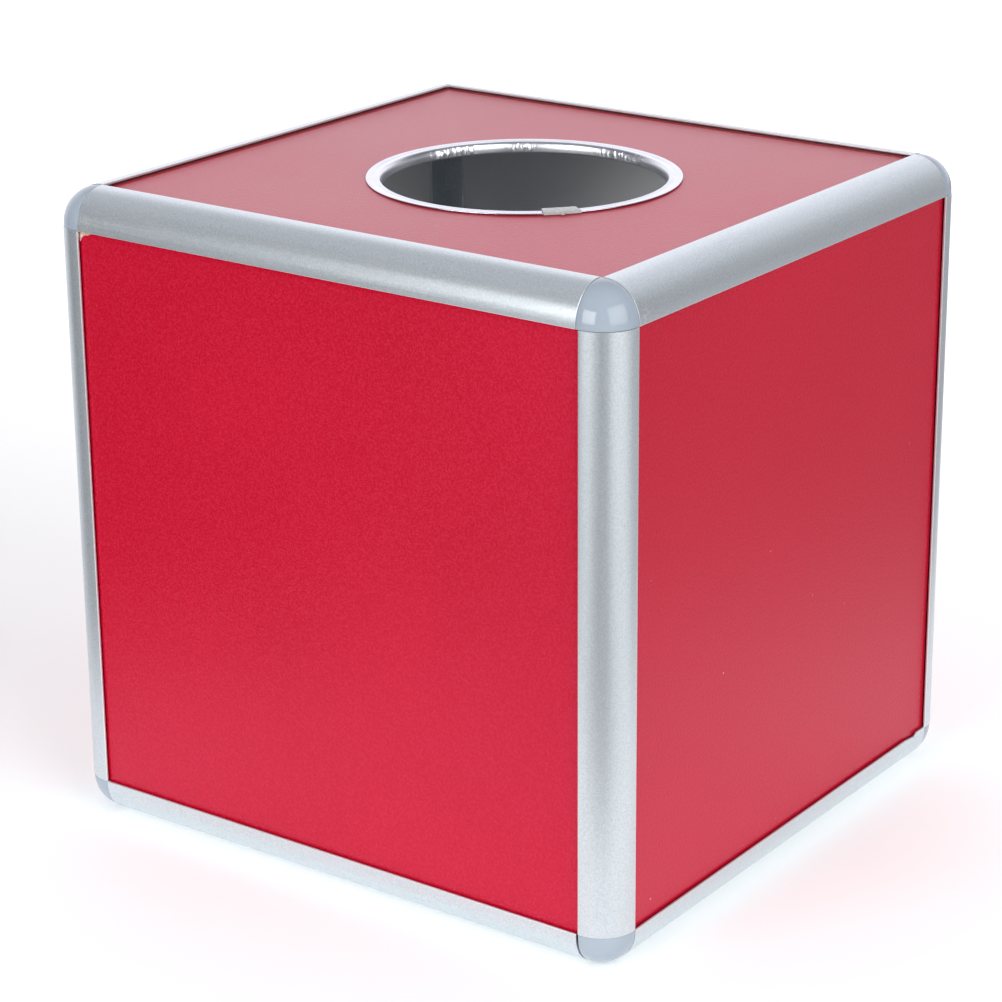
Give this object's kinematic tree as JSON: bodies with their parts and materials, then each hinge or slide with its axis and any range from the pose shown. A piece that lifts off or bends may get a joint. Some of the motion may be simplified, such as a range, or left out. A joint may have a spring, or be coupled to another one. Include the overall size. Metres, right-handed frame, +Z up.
{
  "type": "donation box",
  "caption": "Square donation or raffle box with red boards, rounded aluminium edges, ball corners and a chrome-trimmed hand hole in the top.",
  "frame": {"origin": "centre of the base, on the surface that the box stands on", "axes": "+Z up, -Y out of the front face, +X to the right of someone facing the front"},
  "size_m": [0.302, 0.289, 0.3],
  "materials": {
    "edge_profile": "sandblasted and clear anodised, satin",
    "ball_corner": "moulded blue-grey plastic, gloss",
    "board": "thin fibreboard, semi-gloss red film with a fine grain outside, grey face inside",
    "hole_trim": "bright edging strip, polished",
    "joint_clip": "pale translucent clip, satin"
  },
  "bodies": {
    "root": {"rail_bottom_front": "edge_profile", "rail_bottom_back": "edge_profile", "rail_bottom_left": "edge_profile", "rail_bottom_right": "edge_profile", "rail_top_front": "edge_profile", "rail_top_back": "edge_profile", "rail_top_left": "edge_profile", "rail_top_right": "edge_profile", "post_front_left": "edge_profile", "post_front_right": "edge_profile", "post_back_left": "edge_profile", "post_back_right": "edge_profile", "corner_bottom_front_left": "ball_corner", "corner_top_front_left": "ball_corner", "corner_bottom_front_right": "ball_corner", "corner_top_front_right": "ball_corner", "corner_bottom_back_left": "ball_corner", "corner_top_back_left": "ball_corner", "corner_bottom_back_right": "ball_corner", "corner_top_back_right": "ball_corner", "board_front": "board", "board_back": "board", "board_left": "board", "board_right": "board", "board_top": "board", "board_bottom": "board", "hole_trim": "hole_trim", "trim_joint_clip": "joint_clip"}
  },
  "joints": []
}
